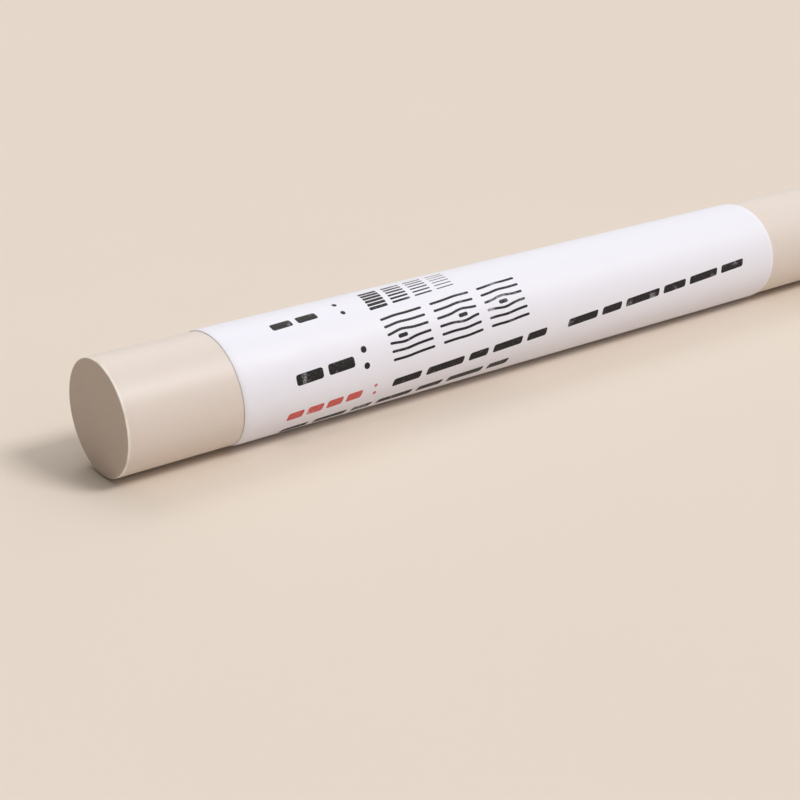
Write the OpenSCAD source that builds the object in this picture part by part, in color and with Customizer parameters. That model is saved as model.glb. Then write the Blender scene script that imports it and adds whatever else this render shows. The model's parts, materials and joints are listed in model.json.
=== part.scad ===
// Furniture repair wax stick lying on its side.
// A solid wax cylinder, bare at both ends, in a self-adhesive paper label that wraps round once and laps
// over itself at the back. The stick runs along X with its near end at -X, and lies on the plane Z = 0.

/* [Wax stick] */
// Diameter of the cast wax stick
stick_diameter = 11; // [6:0.5:25]
// Length of the stick between its end faces
stick_length = 100; // [70:1:200]
// Radius that softens the rim of each end face
rim_radius = 0.1; // [0.05:0.05:1.5]

/* [Paper label] */
// Bare wax between the near end face and the label
near_bare_length = 11.8; // [4:0.1:25]
// Bare wax between the label and the far end face
far_bare_length = 16.5; // [4:0.1:30]
// Thickness of the label paper
paper_thickness = 0.1; // [0.05:0.01:0.3]
// Thickness of the adhesive film on the back of the paper
adhesive_thickness = 0.02; // [0.01:0.01:0.1]
// Width of the lap where the label's outer edge covers its inner edge
lap_width = 3; // [1:0.5:8]
// Angle of the label's inner edge about the stick, from level at the back up towards the top
inner_edge_angle = 10; // [10:1:36]

/* [Hidden] */
$fn = 180;

// Length by which a cut runs past the faces that it opens
overrun = 1;

stick_radius = stick_diameter / 2;
label_length = stick_length - near_bare_length - far_bare_length;

// One layer of label on the wax, and the height of the stick's axis above the surface it lies on
layer_thickness = adhesive_thickness + paper_thickness;
axis_height = stick_radius + layer_thickness;

// The label rises over its own inner edge on a straight run, a little steeper than a tangent to the wax
climb_share = 0.8;
climb_angle = climb_share * acos(stick_radius / (stick_radius + layer_thickness));
lap_angle = lap_width / (stick_radius + layer_thickness) * 180 / PI;

// Point at a radius and an angle about the stick's axis
function polar(radius, angle) = radius * [cos(angle), sin(angle)];

// Point nearest to the stick's axis on the line through two points
function nearest_on_line(p, q) =
    let (along = (q - p) / norm(q - p))
    p - (p * along) * along;

// Turns a shape that stands along Z to lie along X, with angle 0 at the back and 90 at the top,
// and sets it at a distance from the near end face
module along_stick(from_near_end) {
    translate([from_near_end - stick_length / 2, 0, axis_height])
        rotate([90, 0, 90])
            children();
}

// Half section of the stick: a straight flank with a rounded rim at each end face
module stick_section() {
    square([stick_radius - rim_radius, stick_length]);
    translate([0, rim_radius])
        square([stick_radius, stick_length - 2 * rim_radius]);
    for (rim_height = [rim_radius, stick_length - rim_radius])
        translate([stick_radius - rim_radius, rim_height])
            circle(rim_radius);
}

// All that lies within one face of the label, at a depth above the label's back:
// the round of the wax, the run up from it, and the lap, which starts at angle 0
module within_face(depth, length) {
    wax_level = stick_radius + depth;
    lap_level = wax_level + layer_thickness;
    climb_foot = polar(wax_level, -climb_angle);
    climb_head = polar(lap_level, 0);
    cylinder(h = length, r = wax_level);
    linear_extrude(length)
        polygon([[0, 0], nearest_on_line(climb_foot, climb_head), climb_head]);
    rotate_extrude(angle = lap_angle)
        square([lap_level, length]);
}

// One ply of the wrapped label between two depths above its back
module label_ply(depth, thickness) {
    rotate(inner_edge_angle) {
        difference() {
            within_face(depth + thickness, label_length);
            translate([0, 0, -overrun])
                within_face(depth, label_length + 2 * overrun);
        }
        // The first layer where the lap covers it, from the inner edge on into the rest of that layer
        rotate_extrude(angle = lap_angle + climb_angle)
            translate([stick_radius + depth, 0])
                square([thickness, label_length]);
    }
}

// Solid cast wax, square at both ends
module wax_stick() {
    color("#DDD0C3")
        along_stick(0)
            rotate_extrude()
                stick_section();
}

// Film of pressure-sensitive adhesive over the whole back of the label
module label_adhesive() {
    color("#E9E5DB")
        along_stick(near_bare_length)
            label_ply(0, adhesive_thickness);
}

// White paper sheet, wrapped once round the wax with its outer edge lapped over its inner edge
module paper_label() {
    color("#F3F1F7")
        along_stick(near_bare_length)
            label_ply(adhesive_thickness, paper_thickness);
}

wax_stick();
label_adhesive();
paper_label();
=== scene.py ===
"""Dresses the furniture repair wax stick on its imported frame.

The stick is one bar of cast wax in a paper label, which goes round it a little askew and laps at the back.
A film of glue holds the label, and plain printed marks stand on its face.
"""

import json
import logging
import math
from dataclasses import dataclass
from enum import Enum
from typing import Mapping, Optional, Sequence, Union

import bpy
import numpy as np
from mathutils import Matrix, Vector


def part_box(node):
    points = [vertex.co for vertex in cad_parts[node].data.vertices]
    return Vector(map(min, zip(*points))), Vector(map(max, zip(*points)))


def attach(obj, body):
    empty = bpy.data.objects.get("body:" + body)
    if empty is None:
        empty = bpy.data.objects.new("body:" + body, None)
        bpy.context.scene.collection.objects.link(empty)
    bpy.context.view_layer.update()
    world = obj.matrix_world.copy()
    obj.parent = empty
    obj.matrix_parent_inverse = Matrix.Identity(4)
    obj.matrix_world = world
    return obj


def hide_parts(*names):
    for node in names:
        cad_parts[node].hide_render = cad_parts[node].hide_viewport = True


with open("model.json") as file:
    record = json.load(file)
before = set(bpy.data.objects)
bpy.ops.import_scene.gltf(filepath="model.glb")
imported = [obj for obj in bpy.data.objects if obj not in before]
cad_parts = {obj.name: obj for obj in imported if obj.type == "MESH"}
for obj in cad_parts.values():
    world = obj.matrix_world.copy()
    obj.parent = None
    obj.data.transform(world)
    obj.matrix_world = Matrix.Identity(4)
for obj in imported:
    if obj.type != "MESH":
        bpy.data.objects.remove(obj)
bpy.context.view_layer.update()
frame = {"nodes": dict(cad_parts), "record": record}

LOG = logging.getLogger("wax_stick")
BODY = "root"
MM = 0.001
FULL_TURN = 2 * math.pi
SHARP_ANGLE = math.radians(40)
RIM_DISTANCE = "rim_distance"
NOISE_MIDDLE = 0.5
OPAQUE = 1.0

Colour = tuple[float, float, float]
Key = Union[int, str]
Operand = Union["Signal", float]


def find_socket(sockets: bpy.types.bpy_prop_collection, key: Key) -> bpy.types.NodeSocket:
    """Finds a socket of a node.

    Args:
        sockets: a node's inputs or outputs.
        key: the socket's position, identifier or name.

    Returns:
        The socket, and the one in use where several share a name.
    """
    if isinstance(key, int):
        return sockets[key]
    for socket in sockets:
        if socket.identifier == key and socket.enabled:
            return socket
    return next(socket for socket in sockets if socket.name == key and socket.enabled)


class Signal:
    """One output of a node. Arithmetic on it adds Math nodes to its tree."""

    def __init__(self, graph: "Graph", socket: bpy.types.NodeSocket) -> None:
        """Wraps an output socket of a graph's tree."""
        self.graph = graph
        self.socket = socket

    def apply(self, operation: str, *others: Operand) -> "Signal":
        """Adds a Math node that takes this signal first."""
        return self.graph.math(operation, self, *others)

    def __add__(self, other: Operand) -> "Signal":
        """Adds."""
        return self.graph.math("ADD", self, other)

    def __radd__(self, other: Operand) -> "Signal":
        """Adds to a number."""
        return self.graph.math("ADD", other, self)

    def __sub__(self, other: Operand) -> "Signal":
        """Subtracts."""
        return self.graph.math("SUBTRACT", self, other)

    def __rsub__(self, other: Operand) -> "Signal":
        """Subtracts from a number."""
        return self.graph.math("SUBTRACT", other, self)

    def __mul__(self, other: Operand) -> "Signal":
        """Multiplies."""
        return self.graph.math("MULTIPLY", self, other)

    def __rmul__(self, other: Operand) -> "Signal":
        """Multiplies a number."""
        return self.graph.math("MULTIPLY", other, self)

    def __truediv__(self, other: Operand) -> "Signal":
        """Divides."""
        return self.graph.math("DIVIDE", self, other)

    def __rtruediv__(self, other: Operand) -> "Signal":
        """Divides a number."""
        return self.graph.math("DIVIDE", other, self)


Fed = Union[Signal, Sequence[Signal], float, int, str, bool, Sequence[float]]


class Graph:
    """Adds nodes to one tree, of shaders or of geometry."""

    def __init__(self, tree: bpy.types.NodeTree) -> None:
        """Starts on an empty tree."""
        tree.nodes.clear()
        self.tree = tree

    def node(
        self,
        kind: str,
        settings: Optional[Mapping[str, object]] = None,
        inputs: Optional[Mapping[Key, Fed]] = None,
    ) -> bpy.types.Node:
        """Adds one node.

        Args:
            kind: Blender's name for the type of node.
            settings: the node's own properties, which are set first.
            inputs: values or signals for its sockets.

        Returns:
            The new node.
        """
        node = self.tree.nodes.new(kind)
        for name, value in (settings or {}).items():
            setattr(node, name, value)
        for key, value in (inputs or {}).items():
            self.feed(find_socket(node.inputs, key), value)
        return node

    def feed(self, socket: bpy.types.NodeSocket, value: Fed) -> None:
        """Links one or more signals to a socket, or sets its value."""
        if isinstance(value, Signal):
            self.tree.links.new(value.socket, socket)
        elif isinstance(value, (list, tuple)) and isinstance(value[0], Signal):
            for signal in value:
                self.tree.links.new(signal.socket, socket)
        elif socket.type == "RGBA":
            socket.default_value = (*value, OPAQUE)
        else:
            socket.default_value = value

    def out(self, node: bpy.types.Node, key: Key = 0) -> Signal:
        """Takes an output of a node."""
        return Signal(self, find_socket(node.outputs, key))

    def signal(
        self,
        kind: str,
        settings: Optional[Mapping[str, object]] = None,
        inputs: Optional[Mapping[Key, Fed]] = None,
        output: Key = 0,
    ) -> Signal:
        """Adds one node and takes one of its outputs."""
        return self.out(self.node(kind, settings, inputs), output)

    def math(self, operation: str, *operands: Operand) -> Signal:
        """Adds a Math node."""
        return self.signal("ShaderNodeMath", {"operation": operation}, dict(enumerate(operands)))

    def step(self, value: Signal, low: Operand, high: Operand) -> Signal:
        """Rises smoothly from 0, where the value is low, to 1, where it is high."""
        return self.signal(
            "ShaderNodeMapRange",
            {"interpolation_type": "SMOOTHSTEP"},
            {"Value": value, "From Min": low, "From Max": high},
        )

    def split(self, vector: Signal) -> tuple[Signal, Signal, Signal]:
        """Takes the three parts of a vector."""
        node = self.node("ShaderNodeSeparateXYZ", inputs={0: vector})
        return self.out(node, "X"), self.out(node, "Y"), self.out(node, "Z")

    def vector(self, x: Operand, y: Operand, z: Operand) -> Signal:
        """Joins three parts into a vector."""
        return self.signal("ShaderNodeCombineXYZ", inputs={"X": x, "Y": y, "Z": z})


class Detail(Enum):
    """How many finer layers a noise has."""

    COARSE = 1.0
    SOFT = 2.0
    MEDIUM = 3.0
    FINE = 4.0


class ShaderGraph(Graph):
    """The nodes of one material."""

    def __init__(self, name: str) -> None:
        """Makes the material and starts on its empty tree."""
        self.material = bpy.data.materials.new(name)
        self.material.use_nodes = True
        super().__init__(self.material.node_tree)
        self.here = self.signal("ShaderNodeTexCoord", output="Object")

    def stretched(self, scale: Sequence[float]) -> Signal:
        """Takes Object coordinates with each axis scaled."""
        return self.signal("ShaderNodeMapping", inputs={"Vector": self.here, "Scale": scale})

    def noise(self, size: float, detail: Detail = Detail.SOFT, at: Optional[Signal] = None) -> Signal:
        """Adds soft noise.

        Args:
            size: about how far apart its patches are, in metres.
            detail: how fine it is.
            at: where it is read, if not at Object coordinates.

        Returns:
            The noise, from 0 to 1 and mostly near its middle.
        """
        inputs = {"Vector": at or self.here, "Scale": 1 / size, "Detail": detail.value}
        return self.signal("ShaderNodeTexNoise", inputs=inputs, output="Fac")

    def attribute(self, name: str) -> Signal:
        """Reads a number that the mesh keeps at its points."""
        return self.signal("ShaderNodeAttribute", {"attribute_name": name}, output="Fac")

    def mix(self, factor: Operand, first: Fed, second: Fed) -> Signal:
        """Mixes two colours, from the first at 0 to the second at 1."""
        return self.signal(
            "ShaderNodeMix",
            {"data_type": "RGBA"},
            {"Factor_Float": factor, "A_Color": first, "B_Color": second},
            "Result_Color",
        )

    @staticmethod
    def swing(middle: float, noise: Signal, width: float) -> Signal:
        """Lets a value swing about its middle with a noise."""
        return middle + (noise - NOISE_MIDDLE) * width

    def bump(self, height: Signal, distance: float) -> Signal:
        """Tilts the surface by a height that is a share of a distance."""
        return self.signal("ShaderNodeBump", inputs={"Height": height, "Distance": distance})

    def dress(self, inputs: Mapping[Key, Fed]) -> bpy.types.Material:
        """Ends the tree in one Principled surface and gives back the material."""
        surface = self.signal("ShaderNodeBsdfPrincipled", inputs=inputs)
        self.node("ShaderNodeOutputMaterial", inputs={"Surface": surface})
        return self.material


class GeometryGraph(Graph):
    """A Geometry Nodes tree with named inputs, which makes plain meshes."""

    def __init__(self, name: str) -> None:
        """Makes the tree with its geometry in and out."""
        super().__init__(bpy.data.node_groups.new(name, "GeometryNodeTree"))
        interface = self.tree.interface
        interface.new_socket("Geometry", in_out="INPUT", socket_type="NodeSocketGeometry")
        interface.new_socket("Geometry", in_out="OUTPUT", socket_type="NodeSocketGeometry")
        self.entry = self.node("NodeGroupInput")
        self.identifiers: dict[str, str] = {}

    def input(self, name: str, kind: str = "Float") -> Signal:
        """Adds a named input of the tree, once, and takes it."""
        if name not in self.identifiers:
            socket_type = "NodeSocket" + kind
            item = self.tree.interface.new_socket(name, in_out="INPUT", socket_type=socket_type)
            self.identifiers[name] = item.identifier
        return self.out(self.entry, self.identifiers[name])

    def keep(self, geometry: Signal, name: str, value: Signal, kind: str = "FLOAT") -> Signal:
        """Keeps a value at each point of a geometry, under a name."""
        settings = {"data_type": kind, "domain": "POINT"}
        inputs = {"Geometry": geometry, "Name": name, "Value": value}
        return self.signal("GeometryNodeStoreNamedAttribute", settings, inputs)

    def kept(self, name: str, kind: str = "FLOAT") -> Signal:
        """Reads back a value kept under a name."""
        return self.signal("GeometryNodeInputNamedAttribute", {"data_type": kind}, {"Name": name})

    def move(self, geometry: Signal, position: Signal) -> Signal:
        """Moves each point of a geometry to a position."""
        inputs = {"Geometry": geometry, "Position": position}
        return self.signal("GeometryNodeSetPosition", inputs=inputs)

    def slab(self, inner: Signal, thickness: Signal) -> Signal:
        """Thickens a wrapped sheet outwards into a closed slab.

        Args:
            inner: the sheet's inner surface, with its faces towards the stick's axis.
            thickness: how thick the slab is.

        Returns:
            The closed slab.
        """
        outer = self.signal("GeometryNodeFlipFaces", inputs={"Mesh": inner})
        raised = self.signal(
            "GeometryNodeExtrudeMesh",
            {"mode": "FACES"},
            {"Mesh": outer, "Offset Scale": thickness, "Individual": False},
        )
        joined = self.signal("GeometryNodeJoinGeometry", inputs={"Geometry": [raised, inner]})
        inputs = {"Geometry": joined, "Distance": self.input("Weld Distance")}
        return self.signal("GeometryNodeMergeByDistance", inputs=inputs)

    def end(self, geometry: Signal) -> None:
        """Ends the tree in plain geometry with its material set."""
        plain = self.signal("GeometryNodeRealizeInstances", inputs={"Geometry": geometry})
        inputs = {"Geometry": plain, "Material": self.input("Material", "Material")}
        dressed = self.signal("GeometryNodeSetMaterial", inputs=inputs)
        self.node("NodeGroupOutput", inputs={0: dressed})

    def make(self, name: str, source: bpy.types.Mesh, values: Mapping[str, object]) -> bpy.types.Object:
        """Runs the tree on a mesh.

        Args:
            name: the piece's name.
            source: the mesh that the tree starts from.
            values: the tree's inputs, by name.

        Returns:
            A new object with the result as its own plain mesh.
        """
        maker = bpy.data.objects.new(name + "_maker", source)
        bpy.context.scene.collection.objects.link(maker)
        modifier = maker.modifiers.new("nodes", "NODES")
        modifier.node_group = self.tree
        for label, identifier in self.identifiers.items():
            modifier[identifier] = values[label]
        depsgraph = bpy.context.evaluated_depsgraph_get()
        mesh = bpy.data.meshes.new_from_object(
            maker.evaluated_get(depsgraph), preserve_all_data_layers=True, depsgraph=depsgraph
        )
        maker.modifiers.remove(modifier)
        bpy.data.objects.remove(maker)
        return new_piece(name, mesh)


def new_piece(name: str, mesh: bpy.types.Mesh) -> bpy.types.Object:
    """Puts a mesh into the scene at the origin, smooth but for its sharp edges."""
    mesh.name = name
    mesh.shade_smooth()
    mesh.set_sharp_from_angle(angle=SHARP_ANGLE)
    piece = bpy.data.objects.new(name, mesh)
    bpy.context.scene.collection.objects.link(piece)
    return piece


def settle(piece: bpy.types.Object, slot: str, *nodes: str) -> None:
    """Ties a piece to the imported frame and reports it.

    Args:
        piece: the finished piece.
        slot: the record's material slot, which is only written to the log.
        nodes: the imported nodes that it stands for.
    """
    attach(piece, BODY)
    if nodes:
        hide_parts(*nodes)
    LOG.info("%s: %d faces, slot %s", piece.name, len(piece.data.polygons), slot)


@dataclass(frozen=True)
class StickFrame:
    """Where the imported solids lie, in metres. The stick runs along X, level above the floor."""

    axis_z: float
    near_x: float
    far_x: float
    wax_radius: float
    label_near_x: float
    label_far_x: float
    glue_thickness: float
    paper_thickness: float

    @classmethod
    def measured(cls) -> "StickFrame":
        """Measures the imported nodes."""
        axis_z = frame["record"]["mounts"][0]["pos_m"][2]
        wax_low, wax_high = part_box("wax_stick")
        label_low, label_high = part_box("paper_label")
        wax_radius = cls.reaches("wax_stick", axis_z).max()
        paper_back = cls.reaches("paper_label", axis_z).min()
        return cls(
            axis_z=axis_z,
            near_x=wax_low.x,
            far_x=wax_high.x,
            wax_radius=float(wax_radius),
            label_near_x=label_low.x,
            label_far_x=label_high.x,
            glue_thickness=float(paper_back - wax_radius),
            paper_thickness=float(axis_z - paper_back),
        )

    @staticmethod
    def reaches(node: str, axis_z: float) -> np.ndarray:
        """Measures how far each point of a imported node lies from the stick's axis."""
        points = np.array([vertex.co for vertex in frame["nodes"][node].data.vertices])
        return np.hypot(points[:, 1], points[:, 2] - axis_z)

    @property
    def layer_thickness(self) -> float:
        """One layer of label: glue and paper."""
        return self.glue_thickness + self.paper_thickness

    @property
    def label_radius(self) -> float:
        """The face of the label's first layer."""
        return self.wax_radius + self.layer_thickness


@dataclass(frozen=True)
class WaxFinish:
    """Filler wax: satin, a little cloudy, with fine scuffs drawn out one way, and a painted highlight
    along the rims.
    """

    name: str
    tone: Colour
    cloud_tone: Colour
    scuff_stretch: tuple[float, float, float]
    speck_tone: Colour = (0.66, 0.55, 0.45)
    cloud_size: float = 4.0 * MM
    scuff_size: float = 0.35 * MM
    grain_size: float = 0.12 * MM
    speck_size: float = 0.9 * MM
    speck_limits: tuple[float, float] = (0.70, 0.78)
    speck_share: float = 0.35
    roughness: float = 0.44
    roughness_swing: float = 0.08
    specular: float = 0.5
    glow: float = 0.8
    glow_reach: float = 0.3 * MM
    glow_spread: tuple[float, float, float] = (1.0, 0.75, 0.55)
    relief: float = 0.010 * MM
    scuff_share: float = 0.6
    # The rim fields paint a highlight into the colour along both rims, where the rounded rims catch the
    # lamps.
    rim_highlight_tone: Colour = (0.98, 0.93, 0.88)
    rim_highlight_width: float = 0.30 * MM
    rim_share: float = 0.0
    rim_highlight_break_size: float = 1.6 * MM
    rim_highlight_break_limits: tuple[float, float] = (0.30, 0.55)

    @classmethod
    def cast(cls) -> "WaxFinish":
        """Gives the finish of the cast flank, scuffed lengthwise, with a painted highlight along its rims.
        """
        return cls(
            "cast_wax",
            tone=(0.740, 0.655, 0.598),
            cloud_tone=(0.755, 0.670, 0.613),
            scuff_stretch=(0.08, 1.0, 1.0),
            rim_share=1.0,
        )

    @classmethod
    def cut(cls) -> "WaxFinish":
        """Gives the finish of the cut ends: duller, scuffed crosswise, and darker in tone, which paints
        shade onto the ends.
        """
        return cls(
            "cut_wax",
            # This darker tone is painted shade on the ends, which face away from the lamps.
            tone=(0.643, 0.543, 0.468),
            cloud_tone=(0.660, 0.560, 0.485),
            scuff_stretch=(1.0, 0.10, 1.0),
            roughness=0.55,
            specular=0.30,
        )

    def material(self) -> bpy.types.Material:
        """Builds the material."""
        graph = ShaderGraph(self.name)
        scuffs = graph.noise(self.scuff_size, Detail.MEDIUM, graph.stretched(self.scuff_stretch))
        grain = graph.noise(self.grain_size, Detail.MEDIUM)
        specks = graph.step(graph.noise(self.speck_size, Detail.COARSE), *self.speck_limits)
        cloudy = graph.mix(graph.noise(self.cloud_size), self.tone, self.cloud_tone)
        specked = graph.mix(specks * self.speck_share, cloudy, self.speck_tone)
        # A paler band along each rim, broken up by a noise, is a painted highlight where the rims catch
        # the lamps.
        rim = 1 - graph.step(graph.attribute(RIM_DISTANCE), 0.0, self.rim_highlight_width)
        painted_rim_highlight = rim * graph.step(graph.noise(self.rim_highlight_break_size), *self.rim_highlight_break_limits)
        colour = graph.mix(painted_rim_highlight * self.rim_share, specked, self.rim_highlight_tone)
        relief = scuffs * self.scuff_share + grain * (1 - self.scuff_share)
        surface = {
            "Base Color": colour,
            "Roughness": graph.swing(self.roughness, scuffs, self.roughness_swing),
            "Normal": graph.bump(relief, self.relief),
            "Specular IOR Level": self.specular,
            "Subsurface Weight": self.glow,
            "Subsurface Scale": self.glow_reach,
            "Subsurface Radius": self.glow_spread,
        }
        return graph.dress(surface)


@dataclass(frozen=True)
class PaperFinish:
    """Coated label paper: nearly white, faintly fibrous, and a little warmer along its cut edges."""

    name: str
    tone: Colour = (0.862, 0.851, 0.927)
    fibre_tone: Colour = (0.842, 0.831, 0.907)
    edge_tone: Colour = (0.90, 0.85, 0.86)
    edge_width: float = 0.16 * MM
    edge_share: float = 0.5
    fibre_size: float = 0.10 * MM
    fibre_share: float = 0.5
    fibre_stretch: tuple[float, float, float] = (0.35, 1.0, 1.0)
    cloud_size: float = 2.5 * MM
    roughness: float = 0.50
    roughness_swing: float = 0.10
    relief: float = 0.004 * MM

    def material(self) -> bpy.types.Material:
        """Builds the material."""
        graph = ShaderGraph(self.name)
        fibres = graph.noise(self.fibre_size, Detail.FINE, graph.stretched(self.fibre_stretch))
        clouds = graph.noise(self.cloud_size)
        mottle = fibres * self.fibre_share + clouds * (1 - self.fibre_share)
        body = graph.mix(mottle, self.tone, self.fibre_tone)
        edge = 1 - graph.step(graph.attribute(RIM_DISTANCE), 0.0, self.edge_width)
        colour = graph.mix(edge * self.edge_share, body, self.edge_tone)
        roughness = graph.swing(self.roughness, clouds, self.roughness_swing)
        normal = graph.bump(fibres, self.relief)
        return graph.dress({"Base Color": colour, "Roughness": roughness, "Normal": normal})


@dataclass(frozen=True)
class GlueFinish:
    """Pressure-sensitive glue: pale amber, glossy, with a few cloudy patches."""

    name: str
    tone: Colour = (0.81, 0.78, 0.71)
    cloud_tone: Colour = (0.74, 0.70, 0.60)
    cloud_size: float = 1.5 * MM
    roughness: float = 0.30
    roughness_swing: float = 0.12
    relief: float = 0.004 * MM

    def material(self) -> bpy.types.Material:
        """Builds the material."""
        graph = ShaderGraph(self.name)
        clouds = graph.noise(self.cloud_size, Detail.MEDIUM)
        colour = graph.mix(clouds, self.tone, self.cloud_tone)
        roughness = graph.swing(self.roughness, clouds, self.roughness_swing)
        normal = graph.bump(clouds, self.relief)
        return graph.dress({"Base Color": colour, "Roughness": roughness, "Normal": normal})


@dataclass(frozen=True)
class InkFinish:
    """Printing ink on paper: dense, with paler pinholes, and worn away in patches."""

    name: str
    tone: Colour
    thin_tone: Colour
    worn_tone: Colour
    density_size: float = 0.16 * MM
    pinhole_limits: tuple[float, float] = (0.56, 0.80)
    pinhole_share: float = 0.6
    wear_size: float = 1.8 * MM
    wear_limits: tuple[float, float] = (0.58, 0.84)
    wear_break: float = 0.35
    wear_share: float = 0.8
    roughness: float = 0.45
    roughness_swing: float = 0.16
    specular: float = 0.2
    relief: float = 0.003 * MM

    def material(self) -> bpy.types.Material:
        """Builds the material."""
        graph = ShaderGraph(self.name)
        density = graph.noise(self.density_size, Detail.FINE)
        pinholes = graph.step(density, *self.pinhole_limits) * self.pinhole_share
        inked = graph.mix(pinholes, self.tone, self.thin_tone)
        patches = graph.noise(self.wear_size) + (density - NOISE_MIDDLE) * self.wear_break
        wear = graph.step(patches, *self.wear_limits) * self.wear_share
        surface = {
            "Base Color": graph.mix(wear, inked, self.worn_tone),
            "Roughness": graph.swing(self.roughness, density, self.roughness_swing),
            "Normal": graph.bump(density, self.relief),
            "Specular IOR Level": self.specular,
        }
        return graph.dress(surface)


@dataclass(frozen=True)
class FloorFinish:
    """A plain matt cream floor."""

    name: str
    tone: Colour = (0.818, 0.716, 0.617)
    cloud_tone: Colour = (0.803, 0.701, 0.602)
    cloud_size: float = 30.0 * MM
    roughness: float = 0.85
    specular: float = 0.0

    def material(self) -> bpy.types.Material:
        """Builds the material."""
        graph = ShaderGraph(self.name)
        colour = graph.mix(graph.noise(self.cloud_size), self.tone, self.cloud_tone)
        surface = {"Base Color": colour, "Roughness": self.roughness, "Specular IOR Level": self.specular}
        return graph.dress(surface)


class Ink(Enum):
    """The printing inks, each with the name of the record's slot that it stands for."""

    BLACK = "black_ink"
    RED = "red_ink"

    def finish(self) -> InkFinish:
        """Gives the ink's finish."""
        if self is Ink.RED:
            return InkFinish(
                self.value,
                tone=(0.62, 0.110, 0.100),
                thin_tone=(0.76, 0.42, 0.41),
                worn_tone=(0.80, 0.66, 0.67),
            )
        return InkFinish(
            self.value,
            tone=(0.012, 0.011, 0.013),
            thin_tone=(0.19, 0.185, 0.20),
            worn_tone=(0.55, 0.54, 0.57),
        )


@dataclass
class WaxBar:
    """The bar of cast wax: a straight flank with a rounded rim round each flat end."""

    stick: StickFrame
    rim_radius: float = 0.10 * MM
    round_steps: int = 288
    flank_steps: int = 110
    rim_steps: int = 6
    face_steps: int = 12
    uneven_depth: float = 0.012 * MM
    uneven_length: float = 9.0 * MM
    uneven_lobes: int = 3

    def profile(self) -> np.ndarray:
        """Works out the bar's half outline.

        Returns:
            Rows of place along X and distance from the axis, from the near end's face to the far end's.
        """
        face_radius = self.stick.wax_radius - self.rim_radius
        radii = np.linspace(0, face_radius, self.face_steps + 1)[1:]
        face = [(0.0, radius) for radius in radii]
        turns = np.linspace(0, math.pi / 2, self.rim_steps + 1)[1:]
        rim = [
            (self.rim_radius * (1 - math.cos(turn)), face_radius + self.rim_radius * math.sin(turn))
            for turn in turns
        ]
        half = np.array(face + rim)
        length = self.stick.far_x - self.stick.near_x
        flank_x = np.linspace(self.rim_radius, length - self.rim_radius, self.flank_steps + 1)[1:-1]
        flank = np.column_stack([flank_x, np.full_like(flank_x, self.stick.wax_radius)])
        other = half[::-1] * (-1, 1) + (length, 0)
        return np.vstack([half, flank, other]) + (self.stick.near_x, 0)

    def rim_gaps(self, outline: np.ndarray) -> np.ndarray:
        """Works out how far each place of the outline lies from the nearer rim."""
        places, radii = outline.T
        end_gaps = np.minimum(places - self.stick.near_x, self.stick.far_x - places)
        return np.maximum(end_gaps, self.stick.wax_radius - radii)

    def unevenness(self, x: float, angles: np.ndarray) -> np.ndarray:
        """Works out how far the cast flank falls short of true, at a place along X and all round."""
        along = FULL_TURN * x / self.uneven_length
        wave = np.sin(self.uneven_lobes * angles + along) * np.sin(angles + along / math.pi)
        return self.uneven_depth * (1 + wave) / 2

    def build(self, flank: WaxFinish, cut: WaxFinish) -> bpy.types.Object:
        """Turns the outline round the axis and dresses it.

        Args:
            flank: the finish of the round flank and rims.
            cut: the finish of the two flat ends.

        Returns:
            The piece.
        """
        outline = self.profile()
        angles = np.linspace(0, FULL_TURN, self.round_steps, endpoint=False)
        points = []
        for x, radius in outline:
            reach = radius - self.unevenness(x, angles) * (radius / self.stick.wax_radius)
            across = reach * np.cos(angles)
            up = self.stick.axis_z + reach * np.sin(angles)
            points.append(np.column_stack([np.full_like(angles, x), across, up]))
        vertices = np.vstack(points)
        poles = [(x, 0.0, self.stick.axis_z) for x in (self.stick.near_x, self.stick.far_x)]
        mesh = bpy.data.meshes.new("wax_bar")
        mesh.from_pydata(vertices.tolist() + poles, [], self.faces(len(outline)))
        rim_gaps = np.repeat(self.rim_gaps(outline), self.round_steps)
        kept = mesh.attributes.new(RIM_DISTANCE, "FLOAT", "POINT")
        kept.data.foreach_set("value", [*rim_gaps, self.stick.wax_radius, self.stick.wax_radius])
        mesh.materials.append(flank.material())
        mesh.materials.append(cut.material())
        for polygon in mesh.polygons:
            polygon.material_index = int(abs(polygon.normal.x) > math.cos(SHARP_ANGLE / 2))
        return new_piece("wax_bar", mesh)

    def faces(self, rings: int) -> list[tuple[int, ...]]:
        """Joins the rings of points, and closes each end round its pole."""
        steps = self.round_steps
        near_pole = rings * steps
        far_pole = near_pole + 1
        last = (rings - 1) * steps
        faces = []
        for ring in range(rings - 1):
            for step in range(steps):
                here, there = ring * steps + step, ring * steps + (step + 1) % steps
                faces.append((here, here + steps, there + steps, there))
        for step in range(steps):
            after = (step + 1) % steps
            faces.append((near_pole, step, after))
            faces.append((far_pole, last + after, last + step))
        return faces


@dataclass(frozen=True)
class WrapRule:
    """How a flat sheet goes round the stick: where its middle lies, and how far askew it is turned."""

    middle_x: float
    middle_angle: float
    skew: float
    girth_radius: float
    axis_z: float

    def values(self) -> dict[str, float]:
        """Gives the inputs that place() adds to a tree."""
        return {
            "Middle X": self.middle_x,
            "Middle Angle": self.middle_angle,
            "Skew Cosine": math.cos(self.skew),
            "Skew Sine": math.sin(self.skew),
            "Girth Radius": self.girth_radius,
            "Axis Height": self.axis_z,
        }

    @staticmethod
    def place(graph: GeometryGraph, along: Signal, across: Signal, radius: Signal) -> Signal:
        """Carries a point of the flat sheet onto the stick.

        Args:
            graph: the tree that wraps the sheet.
            along: the point's place along the sheet from its middle.
            across: its place across the sheet from its middle.
            radius: its distance from the stick's axis.

        Returns:
            The point's position.
        """
        cosine, sine = graph.input("Skew Cosine"), graph.input("Skew Sine")
        girth = across * cosine - along * sine
        angle = graph.input("Middle Angle") + girth / graph.input("Girth Radius")
        x = graph.input("Middle X") + along * cosine + across * sine
        y = radius * angle.apply("COSINE")
        z = graph.input("Axis Height") + radius * angle.apply("SINE")
        return graph.vector(x, y, z)


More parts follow.
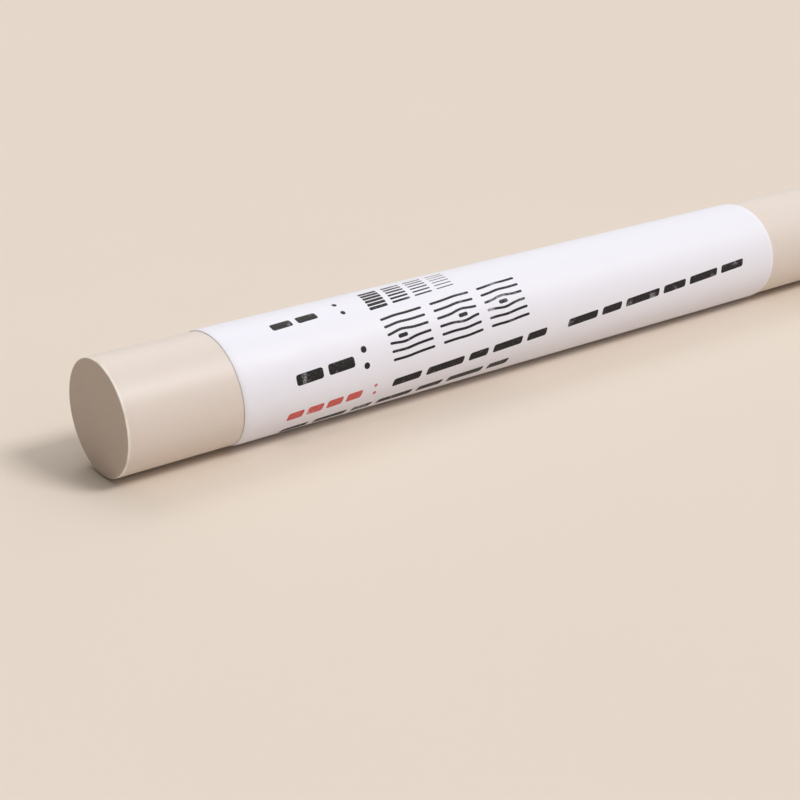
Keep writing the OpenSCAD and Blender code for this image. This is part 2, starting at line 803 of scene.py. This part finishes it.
class PlyTree(GeometryGraph):
    """Wraps one ply of the label: up over its own inner edge, and down again past its own end.

    Its columns stand closer together towards the ends, and its cut edges are pressed thinner.
    """

    def __init__(self) -> None:
        """Builds the tree."""
        super().__init__("label_ply")
        length, width = self.input("Length"), self.input("Width")
        sizes = {"Size X": length, "Size Y": width}
        counts = {"Vertices X": self.input("Columns", "Int"), "Vertices Y": self.input("Rows", "Int")}
        sheet = self.signal("GeometryNodeMeshGrid", inputs={**sizes, **counts})
        even_along, across, _ = self.split(self.signal("GeometryNodeInputPosition"))
        along = length / 2 * (even_along / length * math.pi).apply("SINE")
        end_gap = length / 2 - along.apply("ABSOLUTE")
        side_gap = width / 2 - across.apply("ABSOLUTE")
        marked = self.keep(sheet, RIM_DISTANCE, end_gap.apply("MINIMUM", side_gap))
        lap_from, end_from = self.input("Lap From"), self.input("Overhang From")
        free_edge, lift_length = self.input("Free Edge"), self.input("Lift Length")
        climbed = self.step(across, lap_from - self.input("Climb Length"), lap_from)
        fallen = self.step(along, end_from, end_from + self.input("Fall Length"))
        lifted = self.step(across, free_edge - lift_length, free_edge)
        rise = self.input("Layer") * climbed * (1 - fallen) + self.input("Lift") * lifted
        radius = self.input("Back Radius") + rise
        inner = self.move(marked, WrapRule.place(self, along, across, radius))
        edge_share = self.input("Edge Share")
        fullness = self.step(self.kept(RIM_DISTANCE), 0.0, self.input("Press Width"))
        thickness = self.input("Thickness") * (edge_share + (1 - edge_share) * fullness)
        self.end(self.slab(inner, thickness))


@dataclass
class PaperLabel:
    """The label: a glue film and a paper sheet, wrapped together, with one edge lapped over the other."""

    stick: StickFrame
    lap_width: float = 3.0 * MM
    inner_edge_angle: float = math.radians(4)
    skew: float = math.radians(3.3)
    climb_length: float = 0.93 * MM
    fall_length: float = 0.9 * MM
    lift: float = 0.03 * MM
    lift_length: float = 0.7 * MM
    glue_setback: float = 0.02 * MM
    press_width: float = 0.3 * MM
    edge_share: float = 0.3
    columns: int = 73
    rows: int = 529
    weld_distance: float = 0.001 * MM

    @property
    def length(self) -> float:
        """The sheet's length along the stick."""
        return self.stick.label_far_x - self.stick.label_near_x

    @property
    def turn_length(self) -> float:
        """Once round the label's face."""
        return FULL_TURN * self.stick.label_radius

    @property
    def width(self) -> float:
        """The sheet's width round the stick."""
        return self.turn_length + self.lap_width

    def wrap(self) -> WrapRule:
        """Gives the rule by which the sheet goes round."""
        radius = self.stick.label_radius
        return WrapRule(
            middle_x=(self.stick.label_near_x + self.stick.label_far_x) / 2,
            middle_angle=self.inner_edge_angle + self.width / 2 / radius,
            skew=self.skew,
            girth_radius=radius,
            axis_z=self.stick.axis_z,
        )

    def build_ply(
        self,
        tree: PlyTree,
        name: str,
        depth: float,
        thickness: float,
        setback: float,
        finish: bpy.types.Material,
    ) -> bpy.types.Object:
        """Wraps one ply.

        Args:
            tree: the wrapping tree.
            name: the piece's name.
            depth: the height of the ply's back above the wax.
            thickness: the ply's thickness.
            setback: how far its edges stand back from the sheet's.
            finish: its material.

        Returns:
            The piece.
        """
        values = {
            **self.wrap().values(),
            "Length": self.length - 2 * setback,
            "Width": self.width - 2 * setback,
            "Columns": self.columns,
            "Rows": self.rows,
            "Lap From": self.turn_length * math.cos(self.skew) - self.width / 2,
            "Overhang From": self.length / 2 - self.turn_length * math.sin(self.skew),
            "Free Edge": self.width / 2,
            "Climb Length": self.climb_length,
            "Fall Length": self.fall_length,
            "Lift": self.lift,
            "Lift Length": self.lift_length,
            "Press Width": self.press_width,
            "Edge Share": self.edge_share,
            "Layer": self.stick.layer_thickness,
            "Back Radius": self.stick.wax_radius + depth,
            "Thickness": thickness,
            "Weld Distance": self.weld_distance,
            "Material": finish,
        }
        return tree.make(name, bpy.data.meshes.new(name + "_start"), values)

    def build_glue(self, tree: PlyTree, finish: GlueFinish) -> bpy.types.Object:
        """Makes the glue film."""
        thickness = self.stick.glue_thickness
        return self.build_ply(tree, "label_glue", 0.0, thickness, self.glue_setback, finish.material())

    def build_paper(self, tree: PlyTree, finish: PaperFinish) -> bpy.types.Object:
        """Makes the paper sheet."""
        depth, thickness = self.stick.glue_thickness, self.stick.paper_thickness
        return self.build_ply(tree, "label_sheet", depth, thickness, 0.0, finish.material())


@dataclass(frozen=True)
class Stroke:
    """One printed mark on the flat sheet, in metres: a bar with rounded corners, which may lean or bend.

    Places run along the sheet from its near end and across it from its middle, downwards at the front.
    """

    along: float
    across: float
    length: float
    height: float
    corner: float
    lean: float = 0.0
    bulge: float = 0.0
    bulge_at: float = 0.0
    bulge_reach: float = 1.0 * MM


class StrokeTree(GeometryGraph):
    """Prints strokes on the wrapped label: one small sheet for each, shaped, wrapped and thickened.

    A blank sheet reaches from -1 to 1 each way until it is shaped.
    """

    NUMBERS = ("length", "height", "corner", "lean", "bulge", "bulge_at", "bulge_reach")
    BLANK_SIZE = 2.0

    def __init__(self) -> None:
        """Builds the tree."""
        super().__init__("printed_strokes")
        here = self.signal("GeometryNodeInputPosition")
        sizes = {"Size X": self.BLANK_SIZE, "Size Y": self.BLANK_SIZE}
        counts = {"Vertices X": self.input("Columns", "Int"), "Vertices Y": self.input("Rows", "Int")}
        blank = self.signal("GeometryNodeMeshGrid", inputs={**sizes, **counts})
        blank = self.keep(blank, "unit", here, "FLOAT_VECTOR")
        anchors = self.keep(self.out(self.entry, "Geometry"), "anchor", here, "FLOAT_VECTOR")
        inputs = {"Points": anchors, "Instance": blank}
        blanks = self.signal("GeometryNodeInstanceOnPoints", inputs=inputs)
        sheets = self.signal("GeometryNodeRealizeInstances", inputs={"Geometry": blanks})
        along, across = self.shape()
        inner = self.move(sheets, WrapRule.place(self, along, across, self.input("Back Radius")))
        self.end(self.slab(inner, self.input("Thickness")))

    def shape(self) -> tuple[Signal, Signal]:
        """Shapes each blank into its stroke.

        Returns:
            The place of each point along and across the flat sheet, from its middle.
        """
        length, height, corner, lean, bulge, bulge_at, bulge_reach = map(self.kept, self.NUMBERS)
        unit_x, unit_y, _ = self.split(self.kept("unit", "FLOAT_VECTOR"))
        anchor_along, anchor_across, _ = self.split(self.kept("anchor", "FLOAT_VECTOR"))
        half_length, half_height = length / 2, height / 2
        reach = half_length * (unit_x * (math.pi / 2)).apply("SINE")
        past = (reach.apply("ABSOLUTE") - (half_length - corner)).apply("MAXIMUM", 0.0)
        rounding = (corner * corner - past * past).apply("MAXIMUM", 0.0).apply("SQRT")
        rise = unit_y * (half_height - corner + rounding)
        offset = (reach - bulge_at) / bulge_reach
        bend = bulge * (0.0 - offset * offset).apply("EXPONENT")
        return anchor_along + reach - lean * rise, anchor_across + rise + bend


@dataclass
class PrintRow:
    """One row of printed marks on the label."""

    name: str
    ink: Ink
    strokes: list[Stroke]

    def points(self, label_length: float) -> bpy.types.Mesh:
        """Puts one point on the flat sheet for each stroke, with the stroke's numbers kept at it."""
        mesh = bpy.data.meshes.new(self.name + "_start")
        anchors = [(stroke.along - label_length / 2, stroke.across, 0.0) for stroke in self.strokes]
        mesh.from_pydata(anchors, [], [])
        for number in StrokeTree.NUMBERS:
            kept = mesh.attributes.new(number, "FLOAT", "POINT")
            kept.data.foreach_set("value", [getattr(stroke, number) for stroke in self.strokes])
        return mesh


@dataclass(frozen=True)
class WordBars:
    """Plain bars that stand for printed words."""

    height: float
    gap: float
    lean: float = 0.0
    corner_share: float = 0.25

    def run(self, start: float, across: float, widths: Sequence[float]) -> list[Stroke]:
        """Sets a run of bars in a row.

        Args:
            start: where the run starts along the sheet.
            across: the row's middle line.
            widths: the bars' lengths.

        Returns:
            The strokes.
        """
        strokes = []
        for width in widths:
            corner = self.height * self.corner_share
            strokes.append(Stroke(start + width / 2, across, width, self.height, corner, self.lean))
            start += width + self.gap
        return strokes


@dataclass(frozen=True)
class DotPair:
    """Two round dots, one above the other."""

    size: float
    spread: float

    def strokes(self, along: float, across: float) -> list[Stroke]:
        """Sets the two dots about a place."""
        places = (across - self.spread / 2, across + self.spread / 2)
        return [Stroke(along, place, self.size, self.size, self.size / 2) for place in places]


@dataclass(frozen=True)
class ShadeScale:
    """Leaning chips of level lines, which get thinner from chip to chip."""

    line_shares: tuple[float, ...] = (0.74, 0.55, 0.38, 0.24)
    width: float = 2.2 * MM
    height: float = 3.0 * MM
    pitch: float = 2.85 * MM
    lines: int = 6
    lean: float = 0.2
    corner_share: float = 0.3

    def strokes(self, start: float, across: float) -> list[Stroke]:
        """Sets every line of every chip, from a start along a row."""
        strokes = []
        for chip, share in enumerate(self.line_shares):
            middle = start + self.width / 2 + chip * self.pitch
            spacing = self.height / self.lines
            thick = spacing * share
            for line in range(self.lines):
                down = (line - (self.lines - 1) / 2) * spacing
                place = middle - self.lean * down
                corner = thick * self.corner_share
                strokes.append(Stroke(place, across + down, self.width, thick, corner, self.lean))
        return strokes


@dataclass(frozen=True)
class GrainSamples:
    """Samples of wood grain: level lines that part round a knot."""

    knot_shares: tuple[float, ...] = (0.34, 0.62, 0.46)
    width: float = 5.1 * MM
    pitch: float = 6.2 * MM
    lines: int = 6
    spacing: float = 0.82 * MM
    thickness: float = 0.26 * MM
    parting: float = 0.42 * MM
    parting_fall: float = 2.0
    parting_reach: float = 1.1 * MM
    knot_length: float = 1.15 * MM
    knot_height: float = 0.40 * MM

    def strokes(self, start: float, across: float) -> list[Stroke]:
        """Sets every line and knot, from a start along a row."""
        strokes = []
        for sample, knot_share in enumerate(self.knot_shares):
            middle = start + self.width / 2 + sample * self.pitch
            knot_at = knot_share * self.width - self.width / 2
            for line in range(self.lines):
                level = line - (self.lines - 1) / 2
                strokes.append(self.line(middle, across, level, knot_at))
            knot = (self.knot_length, self.knot_height, self.knot_height / 2)
            strokes.append(Stroke(middle + knot_at, across, *knot))
        return strokes

    def line(self, middle: float, across: float, level: float, knot_at: float) -> Stroke:
        """Sets one line, which bends most where it passes close to the knot."""
        parting = self.parting / (1 + self.parting_fall * abs(level))
        return Stroke(
            middle,
            across + level * self.spacing,
            self.width,
            self.thickness,
            self.thickness / 2,
            bulge=math.copysign(parting, level),
            bulge_at=knot_at,
            bulge_reach=self.parting_reach,
        )


@dataclass
class LabelPrint:
    """The plain marks on the label: bars for words, a scale of shades and three samples of grain."""

    stick: StickFrame
    label: PaperLabel
    shade_row: float = -10.42 * MM
    grain_row: float = -5.62 * MM
    grain_heading_row: float = -4.72 * MM
    note_row: float = -1.07 * MM
    foot_row: float = 1.38 * MM
    heading_from: float = 5.7 * MM
    dots_at: float = 13.6 * MM
    value_from: float = 16.7 * MM
    note_heading_from: float = 4.7 * MM
    note_dots_at: float = 14.6 * MM
    note_break_to: float = 39.4 * MM
    shade_heading: tuple[float, ...] = (2.3 * MM, 2.3 * MM)
    grain_heading: tuple[float, ...] = (3.0 * MM, 3.0 * MM)
    note_heading: tuple[float, ...] = (1.75 * MM, 1.75 * MM, 1.75 * MM, 1.75 * MM)
    first_note: tuple[float, ...] = (3.4 * MM, 4.6 * MM, 2.4 * MM, 3.8 * MM, 2.6 * MM)
    second_note: tuple[float, ...] = (4.2 * MM, 2.8 * MM, 5.0 * MM, 3.4 * MM, 4.4 * MM, 3.6 * MM)
    foot_note: tuple[float, ...] = (2.9 * MM, 3.6 * MM, 2.2 * MM, 4.1 * MM, 3.0 * MM, 4.4 * MM, 2.6 * MM)
    shade_words: WordBars = WordBars(height=0.85 * MM, gap=0.6 * MM)
    grain_words: WordBars = WordBars(height=1.05 * MM, gap=0.6 * MM)
    note_heading_words: WordBars = WordBars(height=0.9 * MM, gap=0.45 * MM, lean=0.25)
    note_words: WordBars = WordBars(height=0.85 * MM, gap=0.72 * MM, lean=0.25)
    shade_dots: DotPair = DotPair(size=0.5 * MM, spread=1.4 * MM)
    grain_dots: DotPair = DotPair(size=0.65 * MM, spread=1.6 * MM)
    note_dots: DotPair = DotPair(size=0.38 * MM, spread=0.95 * MM)
    ink_sink: float = 0.010 * MM
    ink_stand: float = 0.006 * MM
    columns: int = 25
    rows: int = 7

    def layout(self) -> list[PrintRow]:
        """Sets all the rows."""
        shade = self.shade_words.run(self.heading_from, self.shade_row, self.shade_heading)
        shade += self.shade_dots.strokes(self.dots_at, self.shade_row)
        shade += ShadeScale().strokes(self.value_from, self.shade_row)
        grain = self.grain_words.run(self.heading_from, self.grain_heading_row, self.grain_heading)
        grain += self.grain_dots.strokes(self.dots_at, self.grain_heading_row)
        grain += GrainSamples().strokes(self.value_from, self.grain_row)
        heading = self.note_heading_words.run(self.note_heading_from, self.note_row, self.note_heading)
        heading += self.note_dots.strokes(self.note_dots_at, self.note_row)
        notes = self.note_words.run(self.value_from, self.note_row, self.first_note)
        notes += self.note_words.run(self.note_break_to, self.note_row, self.second_note)
        foot = self.note_words.run(self.note_heading_from, self.foot_row, self.foot_note)
        return [
            PrintRow("shade_scale_print", Ink.BLACK, shade),
            PrintRow("grain_sample_print", Ink.BLACK, grain),
            PrintRow("note_heading_print", Ink.RED, heading),
            PrintRow("note_print", Ink.BLACK, notes),
            PrintRow("foot_print", Ink.BLACK, foot),
        ]

    def build(self) -> list[tuple[bpy.types.Object, Ink]]:
        """Prints every row.

        Returns:
            Each row's piece with its ink.
        """
        tree = StrokeTree()
        materials = {ink: ink.finish().material() for ink in Ink}
        values = {
            **self.label.wrap().values(),
            "Columns": self.columns,
            "Rows": self.rows,
            "Back Radius": self.stick.label_radius - self.ink_sink,
            "Thickness": self.ink_sink + self.ink_stand,
            "Weld Distance": self.label.weld_distance,
        }
        pieces = []
        for row in self.layout():
            start = row.points(self.label.length)
            piece = tree.make(row.name, start, {**values, "Material": materials[row.ink]})
            pieces.append((piece, row.ink))
        return pieces


@dataclass(frozen=True)
class Lamp:
    """A soft lamp so far away that it lights the whole floor alike."""

    name: str
    towards: tuple[float, float, float]
    spread: float
    level: float

    def build(self) -> bpy.types.Object:
        """Makes the lamp. A white card that faces it would show its level."""
        light = bpy.data.lights.new(self.name, "SUN")
        light.energy = self.level * math.pi
        light.angle = self.spread
        lamp = bpy.data.objects.new(self.name, light)
        lamp.rotation_mode = "QUATERNION"
        lamp.rotation_quaternion = Vector(self.towards).to_track_quat("Z", "Y")
        bpy.context.scene.collection.objects.link(lamp)
        return lamp


@dataclass
class Studio:
    """The floor, the light and the camera."""

    stick: StickFrame
    floor_half: float = 4.0
    backdrop_tone: Colour = (0.79, 0.69, 0.59)
    ambient_tone: Colour = (0.11, 0.11, 0.11)
    key: Lamp = Lamp("key_lamp", (0.370, -0.545, 0.752), math.radians(18), 0.462)
    fill: Lamp = Lamp("fill_lamp", (0.370, -0.625, 0.687), math.radians(70), 0.250)
    back: Lamp = Lamp("back_lamp", (0.200, 0.520, 0.830), math.radians(26), 0.135)
    top: Lamp = Lamp("top_lamp", (0.380, 0.387, 0.840), math.radians(80), 0.272)
    lens: float = 69.56
    clip_start: float = 10.0 * MM
    azimuth: float = math.radians(-37.65)
    elevation: float = math.radians(22.24)
    distance: float = 154.03 * MM
    target_from_near_end: tuple[float, float] = (31.95 * MM, -1.86 * MM)

    def build(self) -> None:
        """Makes everything round the object."""
        bpy.context.scene.view_settings.view_transform = "Standard"
        self.build_floor()
        self.build_world()
        for lamp in (self.key, self.fill, self.back, self.top):
            lamp.build()
        self.build_camera()

    def build_floor(self) -> None:
        """Lays the floor under the stick."""
        side = self.floor_half
        corners = [(-side, -side, 0), (side, -side, 0), (side, side, 0), (-side, side, 0)]
        mesh = bpy.data.meshes.new("floor")
        mesh.from_pydata(corners, [], [(0, 1, 2, 3)])
        mesh.materials.append(FloorFinish("cream_floor").material())
        floor = bpy.data.objects.new("floor", mesh)
        bpy.context.scene.collection.objects.link(floor)

    def build_world(self) -> None:
        """Sets a pale backdrop that lights the object only a little."""
        world = bpy.data.worlds.new("studio")
        world.use_nodes = True
        bpy.context.scene.world = world
        graph = Graph(world.node_tree)
        path = graph.node("ShaderNodeLightPath")
        seen = graph.out(path, "Is Camera Ray")
        for ray in ("Is Glossy Ray", "Is Transmission Ray"):
            seen = seen.apply("MAXIMUM", graph.out(path, ray))
        ambient = graph.signal("ShaderNodeBackground", inputs={"Color": self.ambient_tone})
        backdrop = graph.signal("ShaderNodeBackground", inputs={"Color": self.backdrop_tone})
        both = graph.signal("ShaderNodeMixShader", inputs={0: seen, 1: ambient, 2: backdrop})
        graph.node("ShaderNodeOutputWorld", inputs={"Surface": both})

    def build_camera(self) -> None:
        """Stands the camera where the photograph was taken from."""
        level = math.cos(self.elevation)
        back = Vector((
            math.sin(self.azimuth) * level,
            -math.cos(self.azimuth) * level,
            math.sin(self.elevation),
        ))
        along, aside = self.target_from_near_end
        target = Vector((self.stick.near_x + along, aside, 0.0))
        data = bpy.data.cameras.new("camera")
        data.lens = self.lens
        data.clip_start = self.clip_start
        camera = bpy.data.objects.new("camera", data)
        camera.location = target + back * self.distance
        camera.rotation_mode = "QUATERNION"
        camera.rotation_quaternion = back.to_track_quat("Z", "Y")
        bpy.context.scene.collection.objects.link(camera)
        bpy.context.scene.camera = camera


def main() -> None:
    """Builds and dresses the stick, piece by piece, and the studio round it."""
    logging.basicConfig(level=logging.INFO, format="%(name)s: %(message)s")
    stick = StickFrame.measured()
    Studio(stick).build()
    settle(WaxBar(stick).build(WaxFinish.cast(), WaxFinish.cut()), "wax", "wax_stick")
    label = PaperLabel(stick)
    plies = PlyTree()
    settle(label.build_glue(plies, GlueFinish("label_glue")), "adhesive", "label_adhesive")
    settle(label.build_paper(plies, PaperFinish("label_paper")), "label_paper", "paper_label")
    for piece, ink in LabelPrint(stick, label).build():
        settle(piece, ink.value)


if __name__ == "__main__":
    main()
